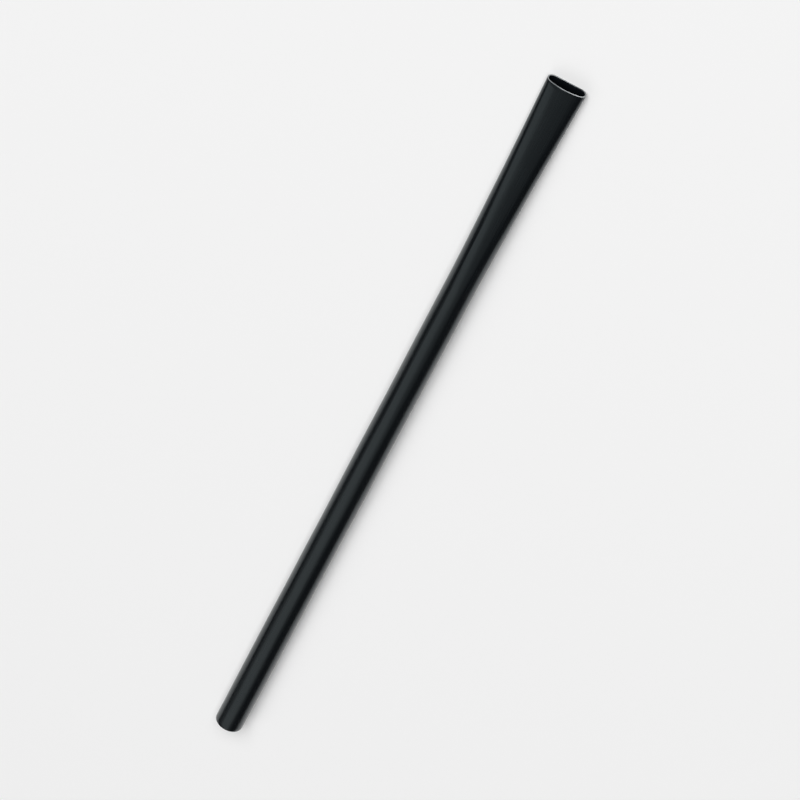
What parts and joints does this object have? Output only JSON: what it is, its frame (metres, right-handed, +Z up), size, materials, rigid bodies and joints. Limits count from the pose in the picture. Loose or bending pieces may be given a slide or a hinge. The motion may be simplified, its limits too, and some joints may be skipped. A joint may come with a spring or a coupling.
{
  "type": "drinking straw",
  "caption": "Thin-walled black plastic drinking straw lying on its side, round from the foot and squashed to a flat oval towards the mouth.",
  "frame": {"origin": "on the surface that the straw lies on, under the middle of its length and width", "axes": "+X along the straw from its foot to its squashed mouth, +Z up"},
  "size_m": [0.145, 0.0064, 0.005],
  "materials": {
    "straw_plastic": "black polypropylene, smooth, between satin and gloss"
  },
  "bodies": {
    "root": {"straw": "straw_plastic"}
  },
  "joints": []
}
